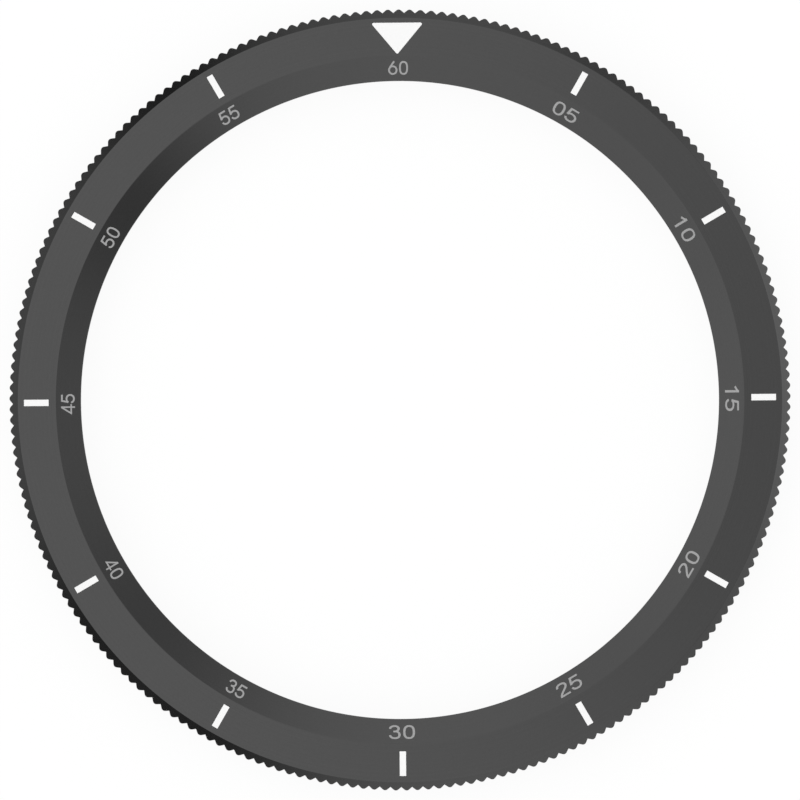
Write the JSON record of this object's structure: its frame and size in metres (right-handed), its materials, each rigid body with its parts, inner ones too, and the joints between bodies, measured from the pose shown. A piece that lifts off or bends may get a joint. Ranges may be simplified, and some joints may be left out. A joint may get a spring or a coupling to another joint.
{
  "type": "rotating smartwatch bezel ring",
  "caption": "Rotating coin-edge bezel ring with a minute scale and markers, on a fixed seat ring with a snap ring and a sprung ball click mechanism.",
  "frame": {"origin": "centre of the seat ring's underside, on the dial's axis", "axes": "+Z out of the dial towards the wearer, +Y towards the 60 mark, +X towards the 15 mark"},
  "size_m": [0.045, 0.045, 0.0033],
  "materials": {
    "bezel_steel": "satin, dark grey coating",
    "marker_white": "smooth white enamel fill",
    "scale_grey": "grey fill of the numbers, which are modelled in the visual scene alone",
    "index_steel": "ground",
    "magnet_nickel": "nickel plated",
    "spring_steel": "drawn wire",
    "seat_aluminium": "black anodised",
    "seal_rubber": "matt",
    "glide_plastic": "waxy black, filled with graphite",
    "sleeve_brass": "turned",
    "ball_steel": "polished"
  },
  "bodies": {
    "seat": {"seat_ring": "seat_aluminium", "seat_gasket": "seal_rubber", "glide_ring": "glide_plastic", "dust_seal": "seal_rubber", "plunger_sleeve_a": "sleeve_brass", "plunger_sleeve_b": "sleeve_brass", "plunger_sleeve_c": "sleeve_brass", "plunger_spring_a": "spring_steel", "plunger_spring_b": "spring_steel", "plunger_spring_c": "spring_steel"},
    "bezel": {"bezel_ring": "bezel_steel", "marker_60": "marker_white", "marker_05": "marker_white", "marker_10": "marker_white", "marker_15": "marker_white", "marker_20": "marker_white", "marker_25": "marker_white", "marker_30": "marker_white", "marker_35": "marker_white", "marker_40": "marker_white", "marker_45": "marker_white", "marker_50": "marker_white", "marker_55": "marker_white", "index_ring": "index_steel", "index_screws": "index_steel", "sensor_magnets": "magnet_nickel", "snap_ring": "spring_steel"},
    "ball_a": {"plunger_ball_a": "ball_steel"},
    "ball_b": {"plunger_ball_b": "ball_steel"},
    "ball_c": {"plunger_ball_c": "ball_steel"}
  },
  "joints": [
    {"name": "bezel_spin", "type": "hinge", "parent": "seat", "child": "bezel", "pos_m": [0, 0, 0], "axis": [0, 0, 1], "continuous": true},
    {"name": "ball_a_press", "type": "slide", "parent": "seat", "child": "ball_a", "axis": [0, 0, 1], "range_m": [-0.0002, 0], "stiffness_N_per_m": 500, "springref_m": 0.0004, "deforming": ["plunger_spring_a"]},
    {"name": "ball_b_press", "type": "slide", "parent": "seat", "child": "ball_b", "axis": [0, 0, 1], "range_m": [-0.0002, 0], "stiffness_N_per_m": 500, "springref_m": 0.0004, "deforming": ["plunger_spring_b"]},
    {"name": "ball_c_press", "type": "slide", "parent": "seat", "child": "ball_c", "axis": [0, 0, 1], "range_m": [-0.0002, 0], "stiffness_N_per_m": 500, "springref_m": 0.0004, "deforming": ["plunger_spring_c"]}
  ]
}
